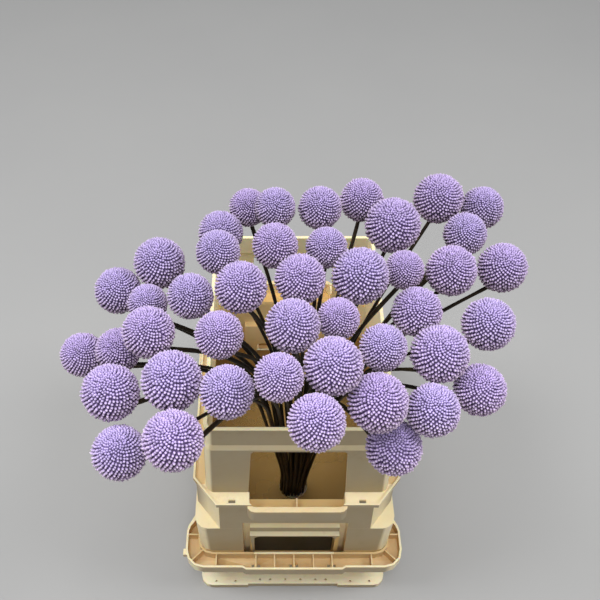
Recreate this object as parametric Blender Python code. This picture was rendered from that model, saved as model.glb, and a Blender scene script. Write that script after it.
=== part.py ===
"""Craspedia bunch standing in a two-part flower holder.

A low tray with a ribbed rim carries a tapered collar. A bunch of dyed craspedia stands in
the tray's water, fans out above the collar and leans over its front edge.
The front is -Y, up is +Z, and the origin is the centre of the tray's underside.
"""

import math

import bmesh
import bpy
from mathutils import Matrix, Vector

MM = 0.001
GAP = 0.3 * MM
FRONT_AND_BACK = (-1, 1)

# Tray: the foot stands on the ground, and a ribbed channel runs round the rim
FOOT_HALF = (122.5 * MM, 181.5 * MM)
FOOT_RADIUS = 14 * MM
FOOT_HEIGHT = 9 * MM
FOOT_RECESS = (60 * MM, 1.8 * MM)
DIMPLE_RADIUS = 1.6 * MM
DIMPLE_DEPTH = 4 * MM
DIMPLES = [(x * MM, y * MM) for x, y in ((10.1, 174.4), (30.3, 174.4), (44.1, 174.4), (77, 176.5), (102.6, 176.5))]
TRAY_FLOOR = 4 * MM
TRAY_HEIGHT = 72 * MM
TRAY_INNER_HALF = (121.4 * MM, 161.2 * MM)
TRAY_INNER_RADIUS = 16.3 * MM
TRAY_WALL = 2.8 * MM
RIM_HALF = (140 * MM, 181.3 * MM)
RIM_WAIST = 129 * MM
RIM_WAIST_EASE = (104 * MM, 133 * MM)
RIM_RADIUS = 24 * MM
RIM_DEPTH = 17 * MM
RIM_SHEET = 2.6 * MM
RIM_BULGE = 2.7 * MM
RIM_BULGE_HALF = 61.5 * MM
RIM_BULGE_EASE = 13 * MM
RIB_SHEET = 1.8 * MM
RIB_DROP = 1.5 * MM
FRONT_RIBS = [x * MM for x in (-100, -49, -25, 0, 25, 49, 100)]
SIDE_RIBS = [y * MM for y in (-137, 137)]
DRAIN_SIZE = 3.4 * MM
DRAIN_ROW = 174 * MM
DRAIN_PLACES = [x * MM for x in (-52.8, -45.2, -3.8, 3.8, 45.2, 52.8)]
LUG_SIZE = (4 * MM, 8 * MM, 7 * MM)
LUG_PLACE = 157 * MM

# Collar: a lower body that slips into the tray, a flange, and a narrower upper wall
COLLAR_SHEET = 3 * MM
BODY_FOOT = TRAY_FLOOR + GAP
BODY_LEVELS = [
    (BODY_FOOT, 121.1 * MM, 160.9 * MM),
    (76 * MM, 121.1 * MM, 160.9 * MM),
    (136 * MM, 124 * MM, 157 * MM),
]
BODY_RADIUS = 16 * MM
SHOULDER_LEVELS = [(134 * MM, 121.6 * MM, 157.1 * MM), (219 * MM, 120 * MM, 151.5 * MM)]
SHOULDER_CUT = (29 * MM, 36 * MM)
FLANGE_TOP = 221 * MM
FLANGE_SHEET = 3.5 * MM
FLANGE_HALF = (120.5 * MM, 167 * MM)
FLANGE_CUT = (28 * MM, 34 * MM)
LIP_SHEET = 2.4 * MM
LIP_HEIGHT = 3 * MM
FLANGE_SLOT = (8 * MM, 4.6 * MM)
FLANGE_SLOT_PLACE = (74.7 * MM, 161.3 * MM)
WALL_LEVELS = [
    (219 * MM, 105.3 * MM, 149.9 * MM),
    (309 * MM, 102.4 * MM, 144.4 * MM),
    (316 * MM, 100.9 * MM, 142 * MM),
    (345 * MM, 99.8 * MM, 139.8 * MM),
]
WALL_RADIUS = 9 * MM
EDGE_HEIGHT = 2.5 * MM
EDGE_PROUD = 1.2 * MM
COLLAR_TOP = WALL_LEVELS[-1][0]
WINDOW_BOTTOM = (199 * MM, 57 * MM)
WINDOW_TOP = (306 * MM, 52 * MM)
WINDOW_CORNER = 3 * MM

# Handle: a trough below each window, open towards it, with one rib in the middle
HANDLE_HALF_WIDTH = 57.5 * MM
HANDLE_BACK = 149 * MM
HANDLE_LIP = (168 * MM, 174.5 * MM)
HANDLE_BOTTOM = 199.5 * MM
HANDLE_FLOOR = 203 * MM
HANDLE_RADIUS = 9 * MM
HANDLE_SHEET = 2.6 * MM
HANDLE_RIB_TOP = 208 * MM

# Pocket at the foot of each short side, with a stepped hood over an open slot
POCKET_HALF_WIDTH = 64.5 * MM
POCKET_TOP = 150 * MM
POCKET_BOTTOM = 30 * MM
POCKET_BACK = 146.5 * MM
BACKING_TOP = 155 * MM
BACKING_FRONT = 155 * MM
HOOD_HALF_WIDTH = 56 * MM
HOOD_STEPS = [(158 * MM, 115.5 * MM), (152 * MM, 126.5 * MM)]
SLOT_HALF_WIDTH = 51 * MM
SLOT_BOTTOM = 32 * MM
SLOT_TOP = 113.3 * MM
SLOT_RADIUS = 8 * MM

WATER_TOP = 29 * MM

# Bunch: the stems stand together in a bundle, and their heads lie on a dome round its waist
STEM_RADIUS = 2 * MM
STEM_STEPS = 6
MOUTH_SPREAD = 0.24
MOUTH_SLANT = 0.12
MOUTH_Y = -102 * MM
STEM_RISE = 0.7
STEM_ARRIVAL = 0.06
STEM_NECK = 4 * MM
BUNDLE_X = 3 * MM
BUNDLE_SPREAD = (17 * MM, 11 * MM)
BUNCH_MIDDLE_Y = -110 * MM
BUNCH_REACH = 0.42
BUNDLE_FLUTES = 15
BUNDLE_FLUTE_DEPTH = 0.12
BUNDLE_SECTIONS = [
    (BODY_FOOT, -40 * MM, 19 * MM),
    (60 * MM, -54 * MM, 20 * MM),
    (120 * MM, -70 * MM, 20.5 * MM),
    (142 * MM, -75 * MM, 21 * MM),
]
WAIST = Vector((0, -70 * MM, 120 * MM))
DOME_RADIUS = 485 * MM
LARGEST_BLOOM = 46 * MM
BLOOM_SPACING = 0.6 * MM
BLOOM_CORE = 0.80
BLOOM_BASE = 0.851
# How far a head leans sideways and forward: at the waist, and what it gains over the dome's radius
LEAN_SIDEWAYS = (-0.05, 0.10)
LEAN_FORWARD = (0.20, 0.45)

# The reference view that the heads' places are read in, in pixels of its 600 by 600 frame
VIEW_FOCAL = 750
VIEW_CENTRE = (267.5, 300)
VIEW_PITCH = math.radians(50)
VIEW_STAND = Vector((-34 * MM, -535 * MM, 1024 * MM))
# Each head is its centre across and down in that view, and its width
BLOOMS_IN_VIEW = {
    "bloom_01": (248.2, 207.5, 39.5),
    "bloom_02": (275.3, 207.8, 42),
    "bloom_03": (320, 208, 45),
    "bloom_04": (361.7, 200, 45),
    "bloom_05": (392.7, 225.3, 57),
    "bloom_06": (438.3, 198.7, 51),
    "bloom_07": (481.7, 208, 44),
    "bloom_08": (465, 234, 44),
    "bloom_09": (502, 267.7, 51),
    "bloom_10": (451.3, 270.7, 52.5),
    "bloom_11": (404.3, 270, 41),
    "bloom_12": (360.3, 276, 59),
    "bloom_13": (326.3, 247.6, 43),
    "bloom_14": (275, 245.7, 47.5),
    "bloom_15": (220.7, 233, 46),
    "bloom_16": (218, 252, 46),
    "bloom_17": (159.6, 263, 53),
    "bloom_18": (118.3, 290.7, 48),
    "bloom_19": (147.7, 303.5, 41),
    "bloom_20": (190.3, 296.2, 48),
    "bloom_21": (240.7, 287.3, 54.5),
    "bloom_22": (300, 279.3, 53),
    "bloom_23": (148.5, 332.2, 54.5),
    "bloom_24": (118.5, 350.3, 46.5),
    "bloom_25": (83, 355, 46),
    "bloom_26": (219, 335, 50.5),
    "bloom_27": (292.7, 325.7, 57),
    "bloom_28": (338.2, 318.8, 44.5),
    "bloom_29": (416.7, 311.7, 52),
    "bloom_30": (383, 347.7, 49.5),
    "bloom_31": (488.3, 324.3, 55),
    "bloom_32": (439.7, 354, 60.5),
    "bloom_33": (333.3, 366, 62),
    "bloom_34": (278.7, 377.3, 52),
    "bloom_35": (171.7, 381, 63.5),
    "bloom_36": (110.5, 392.5, 60),
    "bloom_37": (227, 392, 57),
    "bloom_38": (378, 402.5, 63),
    "bloom_39": (432.9, 410.3, 56),
    "bloom_40": (479.7, 389.8, 54),
    "bloom_41": (119.7, 452.8, 57.5),
    "bloom_42": (173, 440.5, 64.5),
    "bloom_43": (316.5, 422.5, 61),
    "bloom_44": (393.7, 447.3, 58.5),
}
# Heads that stand further down the line of sight than the dome puts them
SET_BACK = {"bloom_44": 30 * MM}


def clear_scene():
    for item in list(bpy.data.objects):
        bpy.data.objects.remove(item, do_unlink=True)


def new_collection(name):
    collection = bpy.data.collections.new(name)
    bpy.context.scene.collection.children.link(collection)
    return collection


def new_material(name, colour, roughness, alpha=1.0):
    material = bpy.data.materials.new(name)
    material.use_nodes = True
    shader = material.node_tree.nodes["Principled BSDF"]
    shader.inputs["Base Color"].default_value = (*colour, 1.0)
    shader.inputs["Roughness"].default_value = roughness
    shader.inputs["Metallic"].default_value = 0.0
    shader.inputs["Alpha"].default_value = alpha
    return material


def mesh_object(name, mesh, collection):
    item = bpy.data.objects.new(name, mesh)
    collection.objects.link(item)
    return item


def settle(item):
    """Replace an object's mesh by its evaluated one and drop its modifiers."""
    graph = bpy.context.evaluated_depsgraph_get()
    mesh = bpy.data.meshes.new_from_object(item.evaluated_get(graph))
    item.modifiers.clear()
    item.data = mesh


def combine(item, others, operation, solver="EXACT"):
    """Join others to the item or cut them from it, then remove them."""
    tools = new_collection(item.name + "_tools")
    for other in others:
        for holder in list(other.users_collection):
            holder.objects.unlink(other)
        tools.objects.link(other)
        other.hide_render = True
        other.display_type = "WIRE"
    modifier = item.modifiers.new("combine", "BOOLEAN")
    modifier.operation = operation
    modifier.operand_type = "COLLECTION"
    modifier.collection = tools
    modifier.solver = solver
    settle(item)
    for other in others:
        bpy.data.objects.remove(other, do_unlink=True)
    bpy.data.collections.remove(tools)


def rounded_outline(half_x, half_y, radius, steps=3):
    """Corner points of a rounded rectangle; one step makes a plain chamfer."""
    points = []
    for sign_x, sign_y, start in ((1, 1, 0), (-1, 1, 90), (-1, -1, 180), (1, -1, 270)):
        for step in range(steps + 1):
            angle = math.radians(start + 90 * step / steps)
            points.append((sign_x * (half_x - radius) + radius * math.cos(angle),
                           sign_y * (half_y - radius) + radius * math.sin(angle)))
    return points


def cut_outline(half_x, half_y, cut_x, cut_y):
    """Corner points of a rectangle whose corners are cut off by cut_x and cut_y."""
    return [
        (half_x, half_y - cut_y), (half_x - cut_x, half_y),
        (cut_x - half_x, half_y), (-half_x, half_y - cut_y),
        (-half_x, cut_y - half_y), (cut_x - half_x, -half_y),
        (half_x - cut_x, -half_y), (half_x, cut_y - half_y),
    ]


def loft(name, sections, collection):
    """Closed solid through level outlines, each a height and its points in turn."""
    count = len(sections[0][1])
    verts = [(x, y, z) for z, outline in sections for x, y in outline]
    faces = [tuple(reversed(range(count)))]
    for level in range(len(sections) - 1):
        base = level * count
        for i in range(count):
            j = (i + 1) % count
            faces.append((base + i, base + j, base + count + j, base + count + i))
    faces.append(tuple(range(len(verts) - count, len(verts))))
    mesh = bpy.data.meshes.new(name)
    mesh.from_pydata(verts, [], faces)
    return mesh_object(name, mesh, collection)


def mesh_from_curve(item, collection):
    """Turn a curve object into a welded mesh object in the same place."""
    graph = bpy.context.evaluated_depsgraph_get()
    evaluated = item.evaluated_get(graph)
    mesh = bpy.data.meshes.new_from_object(evaluated)
    form = bmesh.new()
    form.from_mesh(mesh)
    bmesh.ops.remove_doubles(form, verts=form.verts, dist=0.01 * MM)
    bmesh.ops.recalc_face_normals(form, faces=form.faces)
    form.to_mesh(mesh)
    form.free()
    mesh.materials.clear()
    name, place = item.name, evaluated.matrix_world.copy()
    bpy.data.objects.remove(item, do_unlink=True)
    solid = mesh_object(name, mesh, collection)
    solid.matrix_world = place
    return solid


def slab(name, outline, bottom, top, collection, upright=False):
    """Flat outline given a thickness: level, or upright with the outline in X and Z."""
    curve = bpy.data.curves.new(name, "CURVE")
    curve.dimensions = "2D"
    curve.fill_mode = "BOTH"
    curve.extrude = (top - bottom) / 2
    spline = curve.splines.new("POLY")
    spline.points.add(len(outline) - 1)
    for target, (x, y) in zip(spline.points, outline):
        target.co = (x, y, 0, 1)
    spline.use_cyclic_u = True
    item = mesh_object(name, curve, collection)
    if upright:
        item.rotation_euler.x = math.radians(90)
        item.location.y = (top + bottom) / 2
    else:
        item.location.z = (top + bottom) / 2
    return mesh_from_curve(item, collection)


def box(name, low, high, collection):
    size = [b - a for a, b in zip(low, high)]
    middle = [(a + b) / 2 for a, b in zip(low, high)]
    form = bmesh.new()
    bmesh.ops.create_cube(form, size=1, matrix=Matrix.Translation(middle) @ Matrix.Diagonal((*size, 1)))
    mesh = bpy.data.meshes.new(name)
    form.to_mesh(mesh)
    form.free()
    return mesh_object(name, mesh, collection)


def side_box(name, half_width, near, far, bottom, top, side, collection, middle=0.0):
    """Box across one short side, between two distances from the holder's centre."""
    low_y, high_y = sorted((side * near, side * far))
    low = (middle - half_width, low_y, bottom)
    high = (middle + half_width, high_y, top)
    return box(name, low, high, collection)


def rim_outline(inset, waist):
    """The rim from above: a rounded rectangle whose long sides draw in to a waist."""
    half_x, half_y = [half - inset for half in RIM_HALF]
    near, far = RIM_WAIST_EASE
    side = []
    for step in range(5):
        ease = 0.5 + 0.5 * math.cos(math.pi * step / 4)
        side.append((waist + (half_x - waist) * ease, far + (near - far) * step / 4))
    right = [(x, -y) for x, y in side] + list(reversed(side))
    left = [(-x, -y) for x, y in right]
    corners = rounded_outline(half_x, half_y, RIM_RADIUS - inset)
    half = len(corners) // 2
    return corners[:half] + left + corners[half:] + right


def bulge_outline(half_width, ease, near, far, side):
    """Outline of the rim's middle stretch, which stands proud of the rest."""
    points = [(-half_width - ease, near), (half_width + ease, near), (half_width, far), (-half_width, far)]
    if side < 0:
        return [(x, -y) for x, y in reversed(points)]
    return points


def dimple(x, y, collection):
    """Small blind hole in the foot's upper face, six-sided."""
    outline = [(x + DIMPLE_RADIUS * math.cos(math.radians(60 * i)),
                y + DIMPLE_RADIUS * math.sin(math.radians(60 * i))) for i in range(6)]
    return slab("dimple", outline, FOOT_HEIGHT - DIMPLE_DEPTH, FOOT_HEIGHT + MM, collection)


def build_tray(collection):
    foot_outline = rounded_outline(*FOOT_HALF, FOOT_RADIUS)
    tray = slab("tray", foot_outline, 0, FOOT_HEIGHT, collection)
    recesses = []
    for side in FRONT_AND_BACK:
        recesses.append(side_box("recess", FOOT_RECESS[0], FOOT_HALF[1] - FOOT_RECESS[1],
                                 FOOT_HALF[1] + MM, -MM, FOOT_HEIGHT + MM, side, collection))
        for x, y in DIMPLES:
            recesses += [dimple(x, side * y, collection), dimple(-x, side * y, collection)]
    combine(tray, recesses, "DIFFERENCE")
    outer_half = [half + TRAY_WALL for half in TRAY_INNER_HALF]
    wall_outline = rounded_outline(*outer_half, TRAY_INNER_RADIUS + TRAY_WALL)
    rim_bottom = TRAY_HEIGHT - RIM_DEPTH
    added = [
        slab("tray_wall", wall_outline, TRAY_FLOOR / 2, TRAY_HEIGHT, collection),
        slab("rim", rim_outline(0, RIM_WAIST), rim_bottom, TRAY_HEIGHT, collection),
    ]
    for side in FRONT_AND_BACK:
        outline = bulge_outline(RIM_BULGE_HALF, RIM_BULGE_EASE, RIM_HALF[1] - 2 * RIM_SHEET,
                                RIM_HALF[1] + RIM_BULGE, side)
        added.append(slab("rim_bulge", outline, rim_bottom, TRAY_HEIGHT, collection))
        low_x, high_x = sorted((side * (RIM_HALF[0] - RIM_SHEET), side * (RIM_HALF[0] + LUG_SIZE[0])))
        low = (low_x, side * LUG_PLACE - LUG_SIZE[1] / 2, rim_bottom)
        high = (high_x, side * LUG_PLACE + LUG_SIZE[1] / 2, rim_bottom + LUG_SIZE[2])
        added.append(box("lug", low, high, collection))
    combine(tray, added, "UNION")

    above = TRAY_HEIGHT + 2 * MM
    channel_bottom = rim_bottom + RIM_SHEET
    channel = slab("channel", rim_outline(RIM_SHEET, TRAY_INNER_HALF[0]), channel_bottom, above,
                   collection)
    bulges = []
    for side in FRONT_AND_BACK:
        outline = bulge_outline(RIM_BULGE_HALF, RIM_BULGE_EASE, RIM_HALF[1] - 3 * RIM_SHEET,
                                RIM_HALF[1] + RIM_BULGE - RIM_SHEET, side)
        bulges.append(slab("bulge_space", outline, channel_bottom, above, collection))
    combine(channel, bulges, "UNION")
    keep = [slab("wall_kept", wall_outline, rim_bottom, above + MM, collection)]
    keep += rib_solids(channel_bottom, collection)
    combine(channel, keep, "DIFFERENCE")
    cuts = [channel]
    inner_outline = rounded_outline(*TRAY_INNER_HALF, TRAY_INNER_RADIUS)
    cuts.append(slab("tray_space", inner_outline, TRAY_FLOOR, above, collection))
    for side in FRONT_AND_BACK:
        for x in DRAIN_PLACES:
            cuts.append(side_box("drain", DRAIN_SIZE / 2, DRAIN_ROW - DRAIN_SIZE / 2,
                                 DRAIN_ROW + DRAIN_SIZE / 2, rim_bottom - MM, channel_bottom + MM,
                                 side, collection, x))
    combine(tray, cuts, "DIFFERENCE")
    return tray


def rib_solids(bottom, collection):
    """Thin webs across the rim's channel, a little lower than its lips."""
    top = TRAY_HEIGHT - RIB_DROP
    ribs = []
    for side in FRONT_AND_BACK:
        for x in FRONT_RIBS:
            ribs.append(side_box("rib", RIB_SHEET / 2, TRAY_INNER_HALF[1], RIM_HALF[1] + 2 * RIM_BULGE,
                                 bottom - MM, top, side, collection, x))
        for y in SIDE_RIBS:
            low_x, high_x = sorted((side * TRAY_INNER_HALF[0], side * (RIM_HALF[0] + MM)))
            ribs.append(box("rib", (low_x, y - RIB_SHEET / 2, bottom - MM),
                            (high_x, y + RIB_SHEET / 2, top), collection))
        for end in FRONT_AND_BACK:
            ribs.append(corner_rib(side, end, bottom, top, collection))
    return ribs


def corner_rib(side_x, side_y, bottom, top, collection):
    """Web that runs out to one rounded corner of the rim at 45 degrees."""
    arc = Vector((side_x * (TRAY_INNER_HALF[0] - TRAY_INNER_RADIUS),
                  side_y * (TRAY_INNER_HALF[1] - TRAY_INNER_RADIUS)))
    outward = Vector((side_x, side_y)).normalized()
    across = Vector((-outward.y, outward.x)) * RIB_SHEET / 2
    inner = arc + outward * TRAY_INNER_RADIUS
    outer = inner + outward * (RIM_HALF[0] - TRAY_INNER_HALF[0]) * 1.5
    points = [inner - across, outer - across, outer + across, inner + across]
    return slab("rib", [tuple(point) for point in points], bottom - MM, top, collection)


def body_levels(inset=0.0):
    return [(z, rounded_outline(x - inset, y - inset, BODY_RADIUS - inset)) for z, x, y in BODY_LEVELS]


def shoulder_levels(inset=0.0):
    cut_x, cut_y = [cut - 0.6 * inset for cut in SHOULDER_CUT]
    return [(z, cut_outline(x - inset, y - inset, cut_x, cut_y)) for z, x, y in SHOULDER_LEVELS]


def wall_levels(inset=0.0):
    return [(z, rounded_outline(x - inset, y - inset, WALL_RADIUS - inset)) for z, x, y in WALL_LEVELS]


def build_collar(collection):
    collar = loft("collar", body_levels(), collection)
    combine(collar, [
        loft("shoulders", shoulder_levels(), collection),
        slab("flange", cut_outline(*FLANGE_HALF, *FLANGE_CUT), FLANGE_TOP - FLANGE_SHEET,
             FLANGE_TOP + LIP_HEIGHT, collection),
    ], "UNION")
    lip_half = [half - LIP_SHEET for half in FLANGE_HALF]
    lip_cut = [cut - LIP_SHEET * 0.6 for cut in FLANGE_CUT]
    combine(collar, [slab("inside_lip", cut_outline(*lip_half, *lip_cut), FLANGE_TOP,
                          FLANGE_TOP + 2 * LIP_HEIGHT, collection)], "DIFFERENCE")
    edge_half = [half + EDGE_PROUD for half in WALL_LEVELS[-1][1:]]
    added = [
        loft("wall", wall_levels(), collection),
        slab("edge", rounded_outline(*edge_half, WALL_RADIUS), COLLAR_TOP - EDGE_HEIGHT, COLLAR_TOP,
             collection),
    ]
    for side in FRONT_AND_BACK:
        added.append(handle_block(side, collection))
    combine(collar, added, "UNION")
    combine(collar, collar_spaces(collection), "DIFFERENCE")
    backing = []
    for side in FRONT_AND_BACK:
        backing.append(side_box("backing", POCKET_HALF_WIDTH + COLLAR_SHEET,
                                POCKET_BACK - COLLAR_SHEET, BACKING_FRONT, BODY_FOOT, BACKING_TOP,
                                side, collection))
    combine(collar, backing, "UNION")
    combine(collar, [
        side_box("pocket", POCKET_HALF_WIDTH, POCKET_BACK, RIM_HALF[1], POCKET_BOTTOM, POCKET_TOP,
                 side, collection) for side in FRONT_AND_BACK], "DIFFERENCE")
    hoods = []
    for side in FRONT_AND_BACK:
        for reach, top in HOOD_STEPS:
            hoods.append(side_box("hood", HOOD_HALF_WIDTH, POCKET_BACK - MM, reach,
                                  POCKET_BOTTOM - MM, top, side, collection))
    combine(collar, hoods, "UNION")
    openings = []
    for side in FRONT_AND_BACK:
        low_y, high_y = sorted((side * (POCKET_BACK - 3 * COLLAR_SHEET), side * RIM_HALF[1]))
        openings.append(slab("slot", slot_profile(), low_y, high_y, collection, upright=True))
        openings.append(window_space(side, collection))
        openings.append(handle_space(side, collection))
        for x in (-FLANGE_SLOT_PLACE[0], FLANGE_SLOT_PLACE[0]):
            openings.append(side_box("flange_slot", FLANGE_SLOT[0] / 2,
                                     FLANGE_SLOT_PLACE[1] - FLANGE_SLOT[1] / 2,
                                     FLANGE_SLOT_PLACE[1] + FLANGE_SLOT[1] / 2,
                                     FLANGE_TOP - 2 * FLANGE_SHEET, FLANGE_TOP + MM,
                                     side, collection, x))
    combine(collar, openings, "DIFFERENCE")
    return collar


def collar_spaces(collection):
    """Hollow inside the collar, one space below the flange and one above it."""
    body = body_levels(COLLAR_SHEET)
    body[0] = (BODY_FOOT - MM, body[0][1])
    body[-1] = (body[-1][0] - COLLAR_SHEET, body[-1][1])
    shoulders = shoulder_levels(COLLAR_SHEET)
    shoulders[0] = (shoulders[0][0] - 2 * COLLAR_SHEET, shoulders[0][1])
    shoulders[-1] = (FLANGE_TOP - 2 * FLANGE_SHEET, shoulders[-1][1])
    wall = wall_levels(COLLAR_SHEET)
    wall[0] = (FLANGE_TOP - 3 * FLANGE_SHEET, wall[0][1])
    wall[-1] = (COLLAR_TOP + MM, wall[-1][1])
    return [
        loft("body_space", body, collection),
        loft("shoulder_space", shoulders, collection),
        loft("wall_space", wall, collection),
    ]


def slot_profile():
    """Outline of the hooded slot in X and Z, with its two upper corners round."""
    points = [(-SLOT_HALF_WIDTH, SLOT_BOTTOM), (SLOT_HALF_WIDTH, SLOT_BOTTOM)]
    for sign, start in ((1, 0), (-1, 90)):
        for step in range(4):
            angle = math.radians(start + 30 * step)
            points.append((sign * (SLOT_HALF_WIDTH - SLOT_RADIUS) + SLOT_RADIUS * math.cos(angle),
                           SLOT_TOP - SLOT_RADIUS + SLOT_RADIUS * math.sin(angle)))
    return points


def window_space(side, collection):
    bottom, bottom_half = WINDOW_BOTTOM
    top, top_half = WINDOW_TOP
    corner = WINDOW_CORNER
    profile = [
        (-bottom_half, bottom), (bottom_half, bottom), (top_half, top - corner),
        (top_half - corner, top), (corner - top_half, top), (-top_half, top - corner),
    ]
    inside = WALL_LEVELS[1][2] - 4 * COLLAR_SHEET
    low_y, high_y = sorted((side * inside, side * (HANDLE_BACK + MM)))
    return slab("window", profile, low_y, high_y, collection, upright=True)


def handle_outline(half_width, back, front, radius, side):
    """Outline of a handle seen from above, with its two front corners round."""
    points = [(-half_width, back), (half_width, back)]
    for sign, start in ((1, 0), (-1, 90)):
        for step in range(4):
            angle = math.radians(start + 30 * step)
            points.append((sign * (half_width - radius) + radius * math.cos(angle),
                           front - radius + radius * math.sin(angle)))
    if side < 0:
        return [(x, -y) for x, y in reversed(points)]
    return points


def handle_block(side, collection):
    outline = handle_outline(HANDLE_HALF_WIDTH, HANDLE_BACK - MM, HANDLE_LIP[1], HANDLE_RADIUS, side)
    return slab("handle", outline, HANDLE_BOTTOM, FLANGE_TOP + GAP, collection)


def handle_space(side, collection):
    """Hollow of the trough, in two halves that leave a rib between them."""
    outline = handle_outline(HANDLE_HALF_WIDTH - HANDLE_SHEET, HANDLE_BACK - MM, HANDLE_LIP[0],
                             HANDLE_RADIUS - HANDLE_SHEET, side)
    space = slab("handle_space", outline, HANDLE_FLOOR, FLANGE_TOP + 2 * LIP_HEIGHT, collection)
    rib = side_box("handle_rib", RIB_SHEET / 2, HANDLE_BACK + 2 * MM, HANDLE_LIP[1],
                   HANDLE_BOTTOM, HANDLE_RIB_TOP, side, collection)
    combine(space, [rib], "DIFFERENCE")
    return space


def build_water(collection):
    """Water inside the collar's foot, with a plain hole where the bundle stands."""
    outline = body_levels(COLLAR_SHEET + GAP)[0][1]
    water = slab("water", outline, BODY_FOOT, WATER_TOP, collection)
    cuts = [bundle_solid("bundle_hole", 2 * GAP, 2 * MM, collection)]
    for side in FRONT_AND_BACK:
        cuts.append(side_box("backing_space", POCKET_HALF_WIDTH + COLLAR_SHEET + GAP,
                             POCKET_BACK - COLLAR_SHEET - GAP, RIM_HALF[1], 0, COLLAR_TOP, side,
                             collection))
    combine(water, cuts, "DIFFERENCE")
    return water


def bundle_solid(name, wider, deeper, collection):
    """The stems' lower ends pressed together, fluted like the stems round its outside."""
    sections = []
    for level, (z, y, radius) in enumerate(BUNDLE_SECTIONS):
        outline = []
        for i in range(2 * BUNDLE_FLUTES):
            angle = math.pi * i / BUNDLE_FLUTES
            reach = (radius + wider) * (1 - BUNDLE_FLUTE_DEPTH * (i % 2) * (not wider))
            outline.append((BUNDLE_X + reach * math.cos(angle), y + reach * math.sin(angle)))
        sections.append((z - deeper if level == 0 else z, outline))
    return loft(name, sections, collection)


def sight_line(u, v):
    """Unit direction from the view's stand through a place in the view."""
    across = (u - VIEW_CENTRE[0]) / VIEW_FOCAL
    up = (VIEW_CENTRE[1] - v) / VIEW_FOCAL
    cos, sin = math.cos(VIEW_PITCH), math.sin(VIEW_PITCH)
    return Vector((across, cos + up * sin, up * cos - sin)).normalized()


def view_depth(point):
    """Distance of a point along the view's middle line."""
    return (point - VIEW_STAND).dot(Vector((0, math.cos(VIEW_PITCH), -math.sin(VIEW_PITCH))))


class Bloom:
    """One head: its line of sight, its distance along it and its width in the view."""

    def __init__(self, name, u, v, width):
        self.name = name
        self.width = width
        self.sight = sight_line(u, v)
        offset = VIEW_STAND - WAIST
        along = offset.dot(self.sight)
        inside = along * along - offset.length_squared + DOME_RADIUS ** 2
        self.distance = -along - math.sqrt(max(inside, 0)) + SET_BACK.get(name, 0)
        too_wide = 2 * self.radius / LARGEST_BLOOM
        if too_wide > 1:
            self.distance /= too_wide

    @property
    def centre(self):
        return VIEW_STAND + self.sight * self.distance

    @property
    def radius(self):
        return self.width * view_depth(self.centre) / VIEW_FOCAL / 2

    @property
    def axis(self):
        """Way that the head faces: up, and towards the front the further back it stands."""
        sideways = LEAN_SIDEWAYS[0] + LEAN_SIDEWAYS[1] * self.centre.x / DOME_RADIUS
        forward = LEAN_FORWARD[0] + LEAN_FORWARD[1] * (self.centre.y - WAIST.y) / DOME_RADIUS
        return Vector((sideways, -forward, 1)).normalized()

    @property
    def seat(self):
        """Point where the stem meets the head's flat underside."""
        return self.centre - self.axis * self.radius * BLOOM_CORE * BLOOM_BASE


def place_blooms():
    """Set the heads on the dome, then slide them along their sight lines till none meet."""
    blooms = [Bloom(name, *seen) for name, seen in BLOOMS_IN_VIEW.items()]
    for _ in range(400):
        moved = False
        for i, one in enumerate(blooms):
            for other in blooms[i + 1:]:
                room = (one.centre - other.centre).length - one.radius - other.radius
                if room < BLOOM_SPACING:
                    near, far = sorted((one, other), key=lambda bloom: bloom.distance)
                    near.distance -= 0.35 * (BLOOM_SPACING * 1.1 - room)
                    far.distance += 0.35 * (BLOOM_SPACING * 1.1 - room)
                    moved = True
        if not moved:
            break
    return blooms


def build_bloom(bloom, collection):
    """Ball covered with pointed florets, and a flat base for its stem."""
    form = bmesh.new()
    bmesh.ops.create_icosphere(form, subdivisions=2, radius=bloom.radius * BLOOM_CORE)
    lowest = min(form.verts, key=lambda vert: vert.co.z)
    rim = [edge for face in lowest.link_faces for edge in face.edges if lowest not in edge.verts]
    bmesh.ops.delete(form, geom=[lowest], context="VERTS")
    sides = list(form.faces)
    bmesh.ops.contextual_create(form, geom=rim)
    tips = bmesh.ops.poke(form, faces=sides)["verts"]
    for tip in tips:
        tip.co = tip.co.normalized() * bloom.radius
    bmesh.ops.recalc_face_normals(form, faces=form.faces)
    turn = bloom.axis.to_track_quat("Z", "Y")
    for vert in form.verts:
        vert.co = turn @ vert.co + bloom.centre
    mesh = bpy.data.meshes.new(bloom.name)
    form.to_mesh(mesh)
    form.free()
    return mesh_object(bloom.name, mesh, collection)


def stem_points(bloom):
    """Route from inside the bundle, through the collar's mouth, to the head's seat."""
    reach = bloom.centre - WAIST
    share = Vector((reach.x, reach.y - BUNCH_MIDDLE_Y)) / (BUNCH_REACH * DOME_RADIUS)
    start = Vector((BUNDLE_X + BUNDLE_SPREAD[0] * share.x, WAIST.y + BUNDLE_SPREAD[1] * share.y,
                    WAIST.z - 12 * MM))
    mouth = Vector((BUNDLE_X + MOUTH_SPREAD * reach.x, MOUTH_Y + MOUTH_SLANT * reach.y, COLLAR_TOP))
    end = bloom.seat - bloom.axis * 2 * GAP
    neck = end - bloom.axis * STEM_NECK
    along = (mouth - start).normalized()
    rise = (neck - mouth).length
    lower = mouth + along * STEM_RISE * rise
    upper = neck - bloom.axis * STEM_ARRIVAL * rise
    points = [start, start.lerp(mouth, 0.5)]
    for step in range(STEM_STEPS + 1):
        t = step / STEM_STEPS
        points.append(mouth * (1 - t) ** 3 + lower * 3 * t * (1 - t) ** 2
                      + upper * 3 * t ** 2 * (1 - t) + neck * t ** 3)
    return points + [end]


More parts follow.
